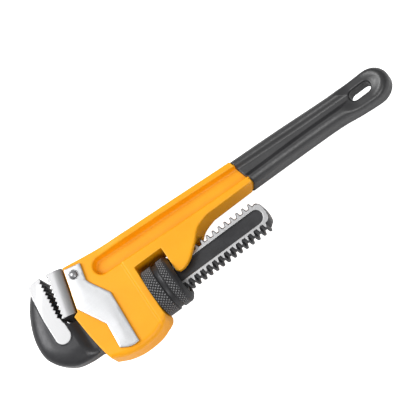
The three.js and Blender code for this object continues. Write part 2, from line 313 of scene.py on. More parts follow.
def slope_of(solid: Field, points: Array, step: float = 0.05) -> Array:
    """Central differences of a field, which point out of the solid at its surface."""
    sides = np.eye(3) * step
    return np.stack([solid(*(points + s).T) - solid(*(points - s).T) for s in sides], 1) / (2 * step)


def edge_turn(solid: Field, points: Array, reach: float = 0.7) -> Array:
    """How sharply a surface turns: above 0 on an outer edge, below 0 in a corner.

    It is the field's mean over six points at `reach` less its value at the point, over reach.
    """
    sides = np.vstack([np.eye(3), -np.eye(3)]) * reach
    return (np.mean([solid(*(points + s).T) for s in sides], 0) - solid(*points.T)) / reach


def surface_net(solid: Field, xs: Array, ys: Array, zs: Array) -> tuple[Array, Array]:
    """The surface of a solid given by a field: one vertex in each grid cell that the surface crosses.

    A cell's vertex is the mean of the points where the surface cuts its twelve edges, and each
    grid edge that the surface cuts gives one four-sided face between the four cells round it.
    Then each vertex slides down the field's slope until it lies on the surface.

    Args:
        solid: the field, negative inside.
        xs: grid lines in X.
        ys: grid lines in Y.
        zs: grid lines in Z.

    Returns:
        Rows of vertices, and rows of four vertex numbers, turned outwards.
    """
    lines = (xs, ys, zs)
    value = solid(xs[:, None, None], ys[None, :, None], zs[None, None, :])
    value = np.broadcast_to(value, tuple(map(len, lines)))
    inside = value < 0
    cells = tuple(len(line) - 1 for line in lines)
    filled = sum(
        inside[i : cells[0] + i, j : cells[1] + j, k : cells[2] + k].astype(np.int8)
        for i, j, k in itertools.product((0, 1), repeat=3)
    )
    crossed = (filled > 0) & (filled < 8)
    number = np.full(cells, -1)
    number[crossed] = np.arange(crossed.sum())
    home = np.stack(np.nonzero(crossed), 1)
    total, hits = np.zeros((len(home), 3)), np.zeros(len(home))
    for along, a, b in itertools.product(range(3), (0, 1), (0, 1)):
        first = home.copy()
        first[:, [i for i in range(3) if i != along]] += (a, b)
        second = first + np.eye(3, dtype=int)[along]
        v0, v1 = value[tuple(first.T)], value[tuple(second.T)]
        cut = (v0 < 0) != (v1 < 0)
        share = (v0[cut] / (v0[cut] - v1[cut]))[:, None]
        p0, p1 = (np.stack([line[c[cut, i]] for i, line in enumerate(lines)], 1) for c in (first, second))
        total[cut] += p0 + share * (p1 - p0)
        hits[cut] += 1
    points = total / hits[:, None]
    faces = []
    for along in range(3):
        side = [i for i in range(3) if i != along]
        start, end = [slice(1, -1)] * 3, [slice(1, -1)] * 3
        start[along], end[along] = slice(None, -1), slice(1, None)
        at = np.stack(np.nonzero(inside[tuple(start)] != inside[tuple(end)]), 1)
        at[:, side] += 1
        ring = []
        for du, dv in ((0, 0), (1, 0), (1, 1), (0, 1)):
            cell = at.copy()
            cell[:, side] -= (du, dv)
            ring.append(number[tuple(cell.T)])
        quads = np.stack(ring, 1)
        outward = inside[tuple(at.T)] == (along != 1)
        quads[~outward] = quads[~outward][:, ::-1]
        faces.append(quads)
    reach = 0.6 * min(np.diff(line).min() for line in lines)
    for _ in range(3):
        slope = slope_of(solid, points)
        steep = np.maximum((slope**2).sum(1, keepdims=True), 0.05)
        move = solid(*points.T)[:, None] * slope / steep
        length = np.maximum(np.linalg.norm(move, axis=1, keepdims=True), 1e-9)
        points = points - move * np.minimum(1, reach / length)
    return points, np.concatenate(faces)


# ---- meshes ------------------------------------------------------------------------------------------


def grid_faces(rows: int, columns: int, close_rows: bool) -> Array:
    """Four-sided faces of a grid of vertices numbered row by row, whose columns close on themselves.

    Args:
        rows: number of rows.
        columns: number of columns.
        close_rows: the last row joins the first.

    Returns:
        Rows of four vertex numbers.
    """
    i = np.arange(rows if close_rows else rows - 1)[:, None]
    j = np.arange(columns)[None, :]
    i2, j2 = (i + 1) % rows, (j + 1) % columns
    corners = (i * columns + j, i2 * columns + j, i2 * columns + j2, i * columns + j2)
    return np.stack([c.ravel() for c in np.broadcast_arrays(*corners)], 1)


def signed_volume(points: Array, quads: Array) -> float:
    """Volume inside a closed skin of four-sided faces: above 0 where they face outwards."""
    a, b, c, d = (points[quads[:, i]] for i in range(4))
    return float((np.cross(b - a, c - a) * a + np.cross(c - a, d - a) * a).sum() / 6)


@dataclass(frozen=True)
class Piece:
    """Where one finished piece belongs."""

    node: str
    body: str
    slot: str
    material: bpy.types.Material

    def build(self, points: Array, faces: list[list[int]], normals: Array | None = None,
              turns: Array | None = None, ground: Array | None = None) -> bpy.types.Object:
        """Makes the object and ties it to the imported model.

        Args:
            points: vertices in millimetres, in the maker's axes.
            faces: lists of vertex numbers, turned outwards.
            normals: outward normals at the vertices, where they are known.
            turns: how sharply the surface turns at each vertex, for the finish to read.
            ground: how far inside the ground faces each vertex lies, in millimetres.

        Returns:
            The object.
        """
        mesh = bpy.data.meshes.new(self.node + "_look")
        mesh.from_pydata(PLACE.metres(points).tolist(), [], faces)
        mesh.polygons.foreach_set("use_smooth", np.ones(len(mesh.polygons), bool))
        mesh.materials.append(self.material)
        for name, values in (("edge_turn", turns), ("ground", ground)):
            if values is not None:
                attribute = mesh.attributes.new(name, "FLOAT", "POINT")
                attribute.data.foreach_set("value", values.astype(np.float32))
        mesh.update()
        if normals is not None:
            unit = normals / np.maximum(np.linalg.norm(normals, axis=1, keepdims=True), 1e-9)
            mesh.normals_split_custom_set_from_vertices(unit.tolist())
        piece = bpy.data.objects.new(self.node + "_look", mesh)
        bpy.context.scene.collection.objects.link(piece)
        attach(piece, self.body)
        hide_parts(self.node)
        log.info("%-22s %7d vertices %7d faces", piece.name, len(points), len(faces))
        return piece

    def build_solid(self, solid: Field, xs: Array, ys: Array, zs: Array,
                    ground: Field | None = None) -> bpy.types.Object:
        """Makes the object from a field.

        Args:
            solid: the field, negative inside.
            xs: grid lines in X.
            ys: grid lines in Y.
            zs: grid lines in Z.
            ground: a field above 0 on the ground faces, if there are any.

        Returns:
            The object.
        """
        points, faces = surface_net(solid, xs, ys, zs)
        reached = None if ground is None else ground(*points.T)
        return self.build(points, faces.tolist(), slope_of(solid, points), edge_turn(solid, points), reached)

    def build_skin(self, points: Array, faces: list[list[int]]) -> bpy.types.Object:
        """Makes the object from a skin whose seams are still doubled: joins them and turns it outwards.

        Args:
            points: vertices in millimetres, in the maker's axes.
            faces: lists of vertex numbers.

        Returns:
            The object.
        """
        skin = bpy.data.meshes.new("open_skin")
        skin.from_pydata(points.tolist(), [], faces)
        joined = bmesh.new()
        joined.from_mesh(skin)
        bmesh.ops.remove_doubles(joined, verts=joined.verts, dist=1e-4)
        bmesh.ops.recalc_face_normals(joined, faces=joined.faces)
        joined.to_mesh(skin)
        joined.free()
        places = np.empty(3 * len(skin.vertices), np.float32)
        skin.vertices.foreach_get("co", places)
        turned = [list(face.vertices) for face in skin.polygons]
        bpy.data.meshes.remove(skin)
        return self.build(places.reshape(-1, 3), turned)

    def build_rings(self, rings: Array, closed: bool, turns: Array | None = None) -> bpy.types.Object:
        """Makes the object from rings of points that follow each other.

        Args:
            rings: an array of rings, points in a ring, and (x, y, z).
            closed: the last ring joins the first. Otherwise flat ends close the piece.
            turns: how sharply the surface turns at each point, where it is known.

        Returns:
            The object.
        """
        rows, columns = rings.shape[:2]
        points, quads = rings.reshape(-1, 3), grid_faces(rows, columns, closed)
        middle = points - points.mean(0)
        faces = quads.tolist()
        if not closed:
            faces += [list(range(columns)), list(range((rows - 1) * columns, rows * columns))[::-1]]
        if signed_volume(middle, quads) < 0:
            faces = [face[::-1] for face in faces]
        return self.build(points, faces, turns=None if turns is None else turns.ravel())


# ---- finishes ------------------------------------------------------------------------------------------


EFFECTS: dict[str, bpy.types.NodeTree] = {}


class Board:
    """A node tree with short ways to fill it."""

    def __init__(self, tree: bpy.types.NodeTree) -> None:
        """Keeps the tree."""
        self.tree = tree

    def add(self, kind: str, feeds: dict | None = None, **settings: object) -> bpy.types.Node:
        """Adds a node.

        Args:
            kind: the node's type.
            feeds: what each named input gets: a number, a colour, or another node's output.
            settings: the node's own settings.

        Returns:
            The node.
        """
        node = self.tree.nodes.new(kind)
        for name, value in settings.items():
            setattr(node, name, value)
        for name, value in (feeds or {}).items():
            self.feed(node.inputs[name], value)
        return node

    def feed(self, socket: bpy.types.NodeSocket, value: object) -> None:
        """Gives an input a constant, or links an output to it.

        Args:
            socket: the input.
            value: a number, a colour, or another node's output.
        """
        if isinstance(value, bpy.types.NodeSocket):
            self.tree.links.new(value, socket)
        elif isinstance(value, tuple) and len(value) == 3 and socket.type == "RGBA":
            socket.default_value = (*value, 1.0)
        else:
            socket.default_value = value

    def math(self, operation: str, *values: object, clamp: bool = False) -> bpy.types.NodeSocket:
        """The result of one operation on numbers.

        Args:
            operation: its name.
            values: what it works on, in order.
            clamp: hold the result between 0 and 1.

        Returns:
            The output.
        """
        node = self.tree.nodes.new("ShaderNodeMath")
        node.operation, node.use_clamp = operation, clamp
        for socket, value in zip(node.inputs, values):
            self.feed(socket, value)
        return node.outputs[0]

    def span(self, value: object, low: float, high: float, to_low: float = 0.0,
             to_high: float = 1.0) -> bpy.types.NodeSocket:
        """A value carried smoothly from one range to another and held at its ends.

        Args:
            value: the value.
            low: start of the range it comes from.
            high: end of that range.
            to_low: start of the range it goes to.
            to_high: end of that range.

        Returns:
            The output.
        """
        node = self.add("ShaderNodeMapRange", {0: value, 1: low, 2: high, 3: to_low, 4: to_high},
                        interpolation_type="SMOOTHSTEP")
        return node.outputs[0]

    def blend(self, share: object, first: object, second: object) -> bpy.types.NodeSocket:
        """A colour between two colours.

        Args:
            share: 0 for the first colour, 1 for the second.
            first: the first colour.
            second: the second colour.

        Returns:
            The output.
        """
        node = self.tree.nodes.new("ShaderNodeMix")
        node.data_type = "RGBA"
        for index, value in ((0, share), (6, first), (7, second)):
            self.feed(node.inputs[index], value)
        return node.outputs[2]

    def noise(self, place: object, scale: object, detail: float = 3.0) -> bpy.types.NodeSocket:
        """Fractal noise at a place, from 0 to 1."""
        return self.add("ShaderNodeTexNoise", {"Vector": place, "Scale": scale, "Detail": detail}).outputs[0]

    def group(self, name: str, **feeds: object) -> bpy.types.Node:
        """Places a shared effect.

        Args:
            name: its name.
            feeds: what each named input gets.

        Returns:
            The node.
        """
        node = self.tree.nodes.new("ShaderNodeGroup")
        node.node_tree = EFFECTS[name]
        for socket, value in feeds.items():
            self.feed(node.inputs[socket], value)
        return node


def new_effect(name: str, inputs: dict[str, object], outputs: Sequence[str]) -> tuple[Board, dict, dict]:
    """Starts a shared effect.

    Args:
        name: its name.
        inputs: named inputs and their values: a number, or None for a place.
        outputs: named outputs, all numbers.

    Returns:
        Its board, its inputs and its outputs' sockets by name.
    """
    tree = bpy.data.node_groups.new(name, "ShaderNodeTree")
    for label, value in inputs.items():
        kind = "NodeSocketVector" if value is None else "NodeSocketFloat"
        socket = tree.interface.new_socket(label, in_out="INPUT", socket_type=kind)
        if value is not None:
            socket.default_value = value
    for label in outputs:
        tree.interface.new_socket(label, in_out="OUTPUT", socket_type="NodeSocketFloat")
    start, end = tree.nodes.new("NodeGroupInput"), tree.nodes.new("NodeGroupOutput")
    EFFECTS[name] = tree
    return Board(tree), {s.name: s for s in start.outputs}, {s.name: s for s in end.inputs}


def make_edge_wear_and_painted_light() -> None:
    """Masks of outer edges and inner corners from how the surface turns, the edge mask broken up by noise.
    The forging and the vinyl use the edge mask as wear, the enamel as a painted highlight and the nut as
    both; the corner mask paints shade into the enamel's corners.
    """
    inputs = {"Place": None, "Reach": 0.2, "Break Up": 0.5}
    board, given, out = new_effect("edge_wear_and_painted_light", inputs, ["Edge", "Corner Shade"])
    turn = board.add("ShaderNodeAttribute", attribute_name="edge_turn").outputs["Fac"]
    sharp = board.math("DIVIDE", turn, given["Reach"])
    patch = board.noise(given["Place"], 260.0, 5.0)
    loss = board.math("MULTIPLY", board.math("SUBTRACT", patch, 0.5), given["Break Up"])
    board.feed(out["Edge"], board.span(board.math("ADD", sharp, loss), 0.25, 1.0))
    # Corner Shade: painted shade for inner corners and creases.
    board.feed(out["Corner Shade"], board.span(sharp, -0.15, -1.1))


def make_cast_skin() -> None:
    """The grain of a sand casting: soft pits under fine grit, and a slow drift across the piece."""
    board, given, out = new_effect("cast_skin", {"Place": None, "Grain": 500.0}, ["Grit", "Drift"])
    fine = board.math("MULTIPLY", board.noise(given["Place"], given["Grain"], 4.0), 0.55)
    pits = board.math("MULTIPLY", board.noise(given["Place"], 330.0, 2.0), 0.45)
    board.feed(out["Grit"], board.math("ADD", fine, pits))
    board.feed(out["Drift"], board.span(board.noise(given["Place"], 38.0, 3.0), 0.32, 0.68))


def make_grinding_marks() -> None:
    """Fine parallel scratches of a grinding wheel, which run along X or, stretched the other way, along Y."""
    inputs = {"Place": None, "Along": 40.0, "Across": 3200.0}
    board, given, out = new_effect("grinding_marks", inputs, ["Marks"])
    parts = board.add("ShaderNodeSeparateXYZ", {0: given["Place"]}).outputs
    stretched = board.add("ShaderNodeCombineXYZ", {
        0: board.math("MULTIPLY", parts[0], given["Along"]),
        1: board.math("MULTIPLY", parts[1], given["Across"]),
        2: board.math("MULTIPLY", parts[2], given["Along"]),
    }).outputs[0]
    board.feed(out["Marks"], board.noise(stretched, 1.0, 3.0))


class Finish:
    """A finish of the wrench: a Principled surface fed by nodes."""

    def material(self, name: str) -> bpy.types.Material:
        """Makes the material.

        Args:
            name: its name.

        Returns:
            The material, filled by `dress`.
        """
        made = bpy.data.materials.new(name)
        made.use_nodes = True
        board = Board(made.node_tree)
        surface = made.node_tree.nodes["Principled BSDF"]
        place = board.add("ShaderNodeTexCoord").outputs["Object"]
        self.dress(board, surface.inputs, place)
        return made

    def dress(self, board: Board, surface: object, place: bpy.types.NodeSocket) -> None:
        """Feeds the surface's sockets. Each finish has its own."""
        raise NotImplementedError

    @staticmethod
    def bump(board: Board, surface: object, height: object, strength: float, distance: float) -> None:
        """Roughens the surface by a height, in metres at full strength."""
        node = board.add("ShaderNodeBump", {"Strength": strength, "Distance": distance, "Height": height})
        board.feed(surface["Normal"], node.outputs[0])


@dataclass(frozen=True)
class OrangeEnamel(Finish):
    """Baked enamel over a sand casting, with painted shade in its corners and a painted highlight on its
    edges.
    """

    face: Colour = (0.88, 0.345, 0.0)
    drift: Colour = (0.90, 0.375, 0.002)
    # painted shade, darker and redder, for inner corners and creases
    corner: Colour = (0.78, 0.22, 0.0)
    # painted highlight, paler, for outer edges and rims
    edge: Colour = (0.97, 0.52, 0.04)

    def dress(self, board: Board, surface: object, place: bpy.types.NodeSocket) -> None:
        """Mixes the four tints by drift, painted corner shade and painted edge highlight, over cast grain.

        Args:
            board: the material's node tree.
            surface: the Principled node's inputs.
            place: where on the piece a point lies, in metres.
        """
        skin = board.group("cast_skin", Place=place, Grain=620.0).outputs
        wear_and_painted_light = board.group("edge_wear_and_painted_light", Place=place, Reach=0.2).outputs
        colour = board.blend(skin["Drift"], self.face, self.drift)
        # painted shade in the corners
        colour = board.blend(wear_and_painted_light["Corner Shade"], colour, self.corner)
        # painted highlight on the edges
        colour = board.blend(board.math("MULTIPLY", wear_and_painted_light["Edge"], 0.75), colour, self.edge)
        board.feed(surface["Base Color"], colour)
        board.feed(surface["Roughness"], board.span(skin["Grit"], 0.3, 0.7, 0.36, 0.47))
        surface["Specular IOR Level"].default_value = 0.32
        self.bump(board, surface, skin["Grit"], 0.32, 0.00025)


@dataclass(frozen=True)
class DippedVinyl(Finish):
    """Thick black vinyl from a dipping tank: satin, faintly dimpled, rubbed greyer on its edges."""

    face: Colour = (0.012, 0.012, 0.013)
    rubbed: Colour = (0.034, 0.034, 0.036)

    def dress(self, board: Board, surface: object, place: bpy.types.NodeSocket) -> None:
        """Lightens the edges a little and varies the sheen.

        Args:
            board: the material's node tree.
            surface: the Principled node's inputs.
            place: where on the piece a point lies, in metres.
        """
        skin = board.group("cast_skin", Place=place, Grain=900.0).outputs
        wear_and_painted_light = board.group("edge_wear_and_painted_light", Place=place, Reach=0.25).outputs
        edges, patches = board.math("MULTIPLY", wear_and_painted_light["Edge"], 0.5), board.math("MULTIPLY", skin["Drift"], 0.4)
        rub = board.math("ADD", edges, patches)
        board.feed(surface["Base Color"], board.blend(rub, self.face, self.rubbed))
        board.feed(surface["Roughness"], board.span(skin["Grit"], 0.3, 0.7, 0.36, 0.46))
        surface["Specular IOR Level"].default_value = 0.75
        self.bump(board, surface, skin["Grit"], 0.22, 0.0002)


class Ground(Enum):
    """Which way the grinding wheel ran."""

    ALONG = (40.0, 3200.0)
    ACROSS = (3200.0, 40.0)


@dataclass(frozen=True)
class GroundSteel(Finish):
    """Ground and polished steel with fine marks."""

    run: Ground = Ground.ACROSS
    face: Colour = (0.55, 0.555, 0.565)
    shade: Colour = (0.53, 0.535, 0.545)

    def dress(self, board: Board, surface: object, place: bpy.types.NodeSocket) -> None:
        """Mixes two steels by the marks, which also vary the gloss.

        Args:
            board: the material's node tree.
            surface: the Principled node's inputs.
            place: where on the piece a point lies, in metres.
        """
        along, across = self.run.value
        marks = board.group("grinding_marks", Place=place, Along=along, Across=across).outputs["Marks"]
        board.feed(surface["Base Color"], board.blend(board.span(marks, 0.35, 0.65), self.shade, self.face))
        board.feed(surface["Roughness"], board.span(marks, 0.3, 0.7, 0.33, 0.36))
        surface["Metallic"].default_value = 1.0
        self.bump(board, surface, marks, 0.02, 0.00001)


@dataclass(frozen=True)
class BlackForging(Finish):
    """Black oxide on a forging, with its flats ground bright where the `ground` attribute says, which on the
    heel jaw also carries painted shade over its rolled back.

    The steel starts to show at the first value of `burr` and is all bare at the second.
    """

    face: Colour = (0.018, 0.018, 0.020)
    drift: Colour = (0.034, 0.034, 0.037)
    steel: Colour = (0.47, 0.47, 0.475)
    dull_steel: Colour = (0.455, 0.455, 0.46)
    burr: tuple[float, float] = (0.04, 0.16)
    run: Ground = Ground.ACROSS

    def dress(self, board: Board, surface: object, place: bpy.types.NodeSocket) -> None:
        """Bares the steel where the wheel reached, and rubs the black a little on its edges.

        Args:
            board: the material's node tree.
            surface: the Principled node's inputs.
            place: where on the piece a point lies, in metres.
        """
        depth = board.add("ShaderNodeAttribute", attribute_name="ground").outputs["Fac"]
        bare = board.span(depth, *self.burr)
        along, across = self.run.value
        marks = board.group("grinding_marks", Place=place, Along=along, Across=across).outputs["Marks"]
        skin = board.group("cast_skin", Place=place, Grain=700.0).outputs
        wear_and_painted_light = board.group("edge_wear_and_painted_light", Place=place, Reach=0.35).outputs
        oxide = board.blend(skin["Drift"], self.face, self.drift)
        oxide = board.blend(board.math("MULTIPLY", wear_and_painted_light["Edge"], 0.10), oxide, self.steel)
        steel = board.blend(board.span(marks, 0.35, 0.65), self.dull_steel, self.steel)
        board.feed(surface["Base Color"], board.blend(bare, oxide, steel))
        board.feed(surface["Metallic"], board.span(bare, 0.0, 1.0, 0.25, 1.0))
        oxide_rough = board.span(skin["Grit"], 0.3, 0.7, 0.30, 0.42)
        steel_rough = board.span(marks, 0.3, 0.7, 0.40, 0.44)
        rough = board.add("ShaderNodeMix", {0: bare, 2: oxide_rough, 3: steel_rough})
        board.feed(surface["Roughness"], rough.outputs[0])
        grit = board.math("MULTIPLY", skin["Grit"], board.math("SUBTRACT", 1.0, bare))
        self.bump(board, surface, grit, 0.25, 0.0002)


@dataclass(frozen=True)
class BlackNut(Finish):
    """Black oxide on a turned and knurled nut, paler on the points of the knurl, partly from wear and partly
    as a painted highlight.
    """

    face: Colour = (0.026, 0.026, 0.028)
    # tint of the knurl points: partly wear, partly painted highlight
    rubbed: Colour = (0.22, 0.22, 0.225)

    def dress(self, board: Board, surface: object, place: bpy.types.NodeSocket) -> None:
        """Pales the points and edges, with turning marks in the roughness.

        Args:
            board: the material's node tree.
            surface: the Principled node's inputs.
            place: where on the piece a point lies, in metres.
        """
        wear_and_painted_light = board.group("edge_wear_and_painted_light", Place=place, Reach=0.9, **{"Break Up": 0.35}).outputs
        marks = board.group("grinding_marks", Place=place, Along=3000.0, Across=50.0).outputs["Marks"]
        # paler points and edges: partly wear, partly painted highlight
        rub = board.math("MULTIPLY", wear_and_painted_light["Edge"], 0.7)
        board.feed(surface["Base Color"], board.blend(rub, self.face, self.rubbed))
        board.feed(surface["Roughness"], board.span(marks, 0.3, 0.7, 0.34, 0.46))
        surface["Metallic"].default_value = 0.35
        self.bump(board, surface, marks, 0.1, 0.00005)


@dataclass(frozen=True)
class SpringSteel(Finish):
    """Tempered spring steel: blue grey, with a straw drift."""

    face: Colour = (0.30, 0.31, 0.34)
    drift: Colour = (0.42, 0.38, 0.30)

    def dress(self, board: Board, surface: object, place: bpy.types.NodeSocket) -> None:
        """Mixes the tempering colours slowly along the piece.

        Args:
            board: the material's node tree.
            surface: the Principled node's inputs.
            place: where on the piece a point lies, in metres.
        """
        skin = board.group("cast_skin", Place=place, Grain=400.0).outputs
        board.feed(surface["Base Color"], board.blend(skin["Drift"], self.face, self.drift))
        board.feed(surface["Roughness"], board.span(skin["Grit"], 0.3, 0.7, 0.25, 0.4))
        surface["Metallic"].default_value = 1.0


# ---- handle casting and sleeve ----------------------------------------------------------------------


@dataclass
class Handle:
    """The casting from head to hanging slot, and the sleeve dipped over its end."""

    head_half: float = 11.0
    beam_half: float = 9.5
    panel_sink: float = 1.1
    panel_edge: float = -71.0
    web_half: float = 4.5
    hollow_end: tuple[float, float] = (108.0, 4.4)
    hollow_slope: float = 14.0
    hollow_foot: float = 1.6
    hollow_rim: float = 1.0
    edge_round: float = 1.3
    chin_round: float = 3.0
    back_round: float = 0.7
    crisp: float = 0.6
    passage: Box = ((-130, -13, -6.5), (-60, 16.4, 6.5))
    claw_gap: Box = ((-44.3, -5, -6.5), (-8, 14.6, 6.5))
    jaw_seat: Box = ((-130, 25.7, -5.3), (-96.2, 49.3, 5.3))
    spring_seat: tuple[float, float, float, float] = (-88.0, 18.5, 4.9, 8.5)
    tail_start: float = 18.0
    tail_round: float = 5.6
    sleeve_half: float = 10.7
    sleeve_coat: float = 1.2
    sleeve_round: float = 6.6
    gap: float = 0.3
    valley_end: tuple[float, float] = (124.0, 4.8)
    valley_floor: float = 6.8
    valley_wall: tuple[float, float] = (1.4, -4.0)
    dish_depth: float = 3.4
    dish_wall: tuple[float, float] = (10.5, 0.6)
    core_end: float = 105.0
    core_rim: float = 0.9
    lip: tuple[float, float, float] = (30.5, 32.0, 0.0)
    lip_lean: tuple[float, float, float] = (0.926, 0.247, -0.286)
    end_middle: tuple[float, float] = (138.6, 27.6)
    end_radii: tuple[float, float] = (14.7, 12.1)
    slot: tuple[float, float, float, float] = (131.2, 28.4, 17.0, 8.0)
    slot_room: float = 2.4
    slot_round: float = 1.6

    def __post_init__(self) -> None:
        """Works out the plans that the casting and the sleeve share."""
        self.bare_plan = Plan(self.casting_outline(), step=0.25)
        self.sleeve_plan = Plan(self.sleeve_outline(), step=0.25)
        self.hollow_plan = Plan(self.hollow_outline(*self.hollow_end), step=0.25)
        self.valley_plan = Plan(self.hollow_outline(*self.valley_end), step=0.25)
        self.slot_plan = Plan(round_slot(*self.slot))

    @staticmethod
    def casting_outline() -> Array:
        """Side view of the bare casting: back, claw, nut window with rounded corners, head.

        Returns:
            Rows of (x, y).
        """
        chin = (-113.6, -20.8)
        return outline(
            spline([(-108.1, 54.3), (-72.7, 49.4), (-24, 46.5), (40, 42.8)]),
            [(40, 21.7)],
            spline([(-3, 21.6), (-13, 18.2), (-21, 10.6), (-30, 3), (-36, 0.3), (-40.5, 0.2)]),
            [(-42.3, 2)],
            arc((-43.5, 20.6), (1.2, 1.2), 0, 90, 5),
            arc((-64.1, 20.6), (1.2, 1.2), 90, 180, 5),
            spline([(-65.3, -18), (-68.5, -22.6), (-78, -26.9), (-92, -27.9), (-104, -25.6), chin]),
            spline([chin, (-115, -15), (-117.6, 2), (-119.4, 19.4)]),
            [(-115.6, 20.7)],
        )

    def sleeve_outline(self) -> Array:
        """Side view of the sleeve, from inside the casting round the end of the handle.

        Returns:
            Rows of (x, y).
        """
        (x, y), (reach, radius) = self.end_middle, self.end_radii
        return outline(
            spline([(8, 45.5), (20, 44.2), (66, 42.1), (108, 39.6), (125, 39.5), (x, y + radius)]),
            arc((x, y), (reach, radius), 90, -90),
            spline([(x, y - radius), (125, 16.4), (108, 18.7), (80, 19.6), (20, 20.4), (8, 20.6)]),
        )

    @staticmethod
    def hollow_outline(end: float, half: float) -> Array:
        """The long hollow in each side of the beam, with round ends.

        Args:
            end: X of the rear end's middle.
            half: half the hollow's width there.

        Returns:
            Rows of (x, y).
        """
        middle = 29.6
        return outline(
            arc((-83.4, 38.1), (6.9, 6.9), 270, 90),
            spline([(-83.4, 45), (-24, 41.9), (28, 38.8), (80, 35.8), (end, middle + half)]),
            arc((end, middle), (half, half), 90, -90),
            spline([(end, middle - half), (80, 26), (28, 26.2), (-24, 28), (-83.4, 31.2)]),
        )

    def lip_field(self, x: Array, y: Array, z: Array) -> Array:
        """Distance from the leaning plane where the sleeve starts, above 0 on the sleeve's side."""
        parts = zip((x, y, z), self.lip, self.lip_lean)
        return sum((c - start) * lean for c, start, lean in parts)

    def half_thickness(self, x: Array, y: Array) -> Array:
        """Half the casting's thickness: full round the window and claw, sunk on the head's panel.

        Args:
            x: X of the points, in millimetres.
            y: Y of the points.

        Returns:
            Half the thickness at the points.
        """
        soft = 1.1 + 9 * ramp(y, 30, 42)
        raised = ramp(x, self.panel_edge - soft, self.panel_edge + soft)
        return np.interp(x, [-60, 30], [self.head_half, self.beam_half]) - self.panel_sink * (1 - raised)

    def edge_radius(self, x: Array, y: Array) -> Array:
        """Rounding of the casting's edges: wide at the chin and along the back, crisp at mouth and window.

        Args:
            x: X of the points, in millimetres.
            y: Y of the points.

        Returns:
            The radius at the points.
        """
        chin = ramp(y, -14, -24) * ramp(x, -62, -70)
        mouth = ramp(x, -108, -113) * ramp(y, -16, -8)
        window = ramp(x, -69, -67) * ramp(x, -35, -41) * ramp(y, 27, 24)
        wide = self.chin_round * chin + self.back_round * ramp(y, 30, 42)
        return self.edge_round + wide - self.crisp * (mouth + window)

    def openings(self, x: Array, y: Array, z: Array) -> Array:
        """Field of what is cut through the casting: shank passage, claw gap, heel jaw's and coil's seats.

        Args:
            x: X of the points, in millimetres.
            y: Y of the points.
            z: Z of the points.

        Returns:
            The field at the points, negative inside.
        """
        boxes = [block(x, y, z, *box) for box in (self.passage, self.claw_gap, self.jaw_seat)]
        seat_x, seat_y, radius, half = self.spring_seat
        seat = np.maximum(np.hypot(x - seat_x, z) - radius, np.abs(y - seat_y) - half)
        return np.minimum.reduce([*boxes, seat])

    def casting(self, x: Array, y: Array, z: Array) -> Array:
        """The casting as a field: head, beam and the tail in the sleeve, less hollows, openings and slot.

        Args:
            x: X of the points, in millimetres.
            y: Y of the points.
            z: Z of the points.

        Returns:
            The field at the points, negative inside.
        """
        height = np.abs(z)
        side = self.half_thickness(x, y)
        bare = both(self.bare_plan(x, y), height - side, self.edge_radius(x, y))
        bare = both(bare, self.lip_field(x, y, z) + self.gap, 0.3)
        end = np.maximum(self.tail_start - x, x - self.core_end + self.gap)
        body = either(bare, np.maximum(self.tail(x, y, height), end), 0.2)
        slope = np.radians(self.hollow_slope)
        wall = self.hollow_plan(x, y) * np.cos(slope) + (side - height) * np.sin(slope)
        body = without(body, both(wall, self.web_half - height, self.hollow_foot), self.hollow_rim)
        body = without(body, self.openings(x, y, z), 0.5)
        return without(body, self.slot_plan(x, y) - self.slot_room, 0.5)

    def dish(self, x: Array, y: Array) -> Array:
        """How far each side of the handle's end sinks towards the hanging slot."""
        return self.dish_depth * ramp(self.slot_plan(x, y), *self.dish_wall)

    def tail(self, x: Array, y: Array, height: Array) -> Array:
        """The end of the beam that the sleeve covers, as a field, before its hollow is cut."""
        side = self.sleeve_plan(x, y) + self.sleeve_coat + self.gap
        return both(side, height - self.beam_half + self.dish(x, y), self.tail_round)

    def sleeve(self, x: Array, y: Array, z: Array) -> Array:
        """The sleeve as a field: soft, with a valley in each side, dished round the slot, less the tail.

        Args:
            x: X of the points, in millimetres.
            y: Y of the points.
            z: Z of the points.

        Returns:
            The field at the points, negative inside.
        """
        height = np.abs(z)
        sunk = (self.sleeve_half - self.valley_floor) * ramp(self.valley_plan(x, y), *self.valley_wall)
        sunk = np.maximum(sunk, self.dish(x, y))
        body = both(self.sleeve_plan(x, y), height - self.sleeve_half + sunk, self.sleeve_round)
        body = without(body, self.slot_plan(x, y), self.slot_round)
        near = np.maximum(x - self.core_end, self.tail(x, y, height) - self.gap)
        hollow = np.maximum(self.hollow_plan(x, y) - self.core_rim, self.web_half + self.gap - height)
        core = np.maximum(near, -hollow)
        return both(without(body, core, 0.1), -self.lip_field(x, y, z), 0.5)

    def build(self, enamel: bpy.types.Material, vinyl: bpy.types.Material) -> None:
        """Makes both pieces.

        Args:
            enamel: finish of the casting.
            vinyl: finish of the sleeve.
        """
        casting = Piece("handle_casting", "handle", "casting_paint", enamel)
        casting.build_solid(
            self.casting,
            grid_lines((-120.5, 33, 0.6), (33, 153.5, 1.6)),
            grid_lines((-29.6, 55.4, 0.6)),
            grid_lines((-12.1, 12.1, 0.6)),
        )
        sleeve = Piece("handle_grip", "handle", "sleeve_vinyl", vinyl)
        sleeve.build_solid(
            self.sleeve,
            grid_lines((25.2, 155, 0.75)),
            grid_lines((15.4, 44.8, 0.65)),
            grid_lines((-11.6, 11.6, 0.6)),
        )


# ---- hook jaw ----------------------------------------------------------------------------------------


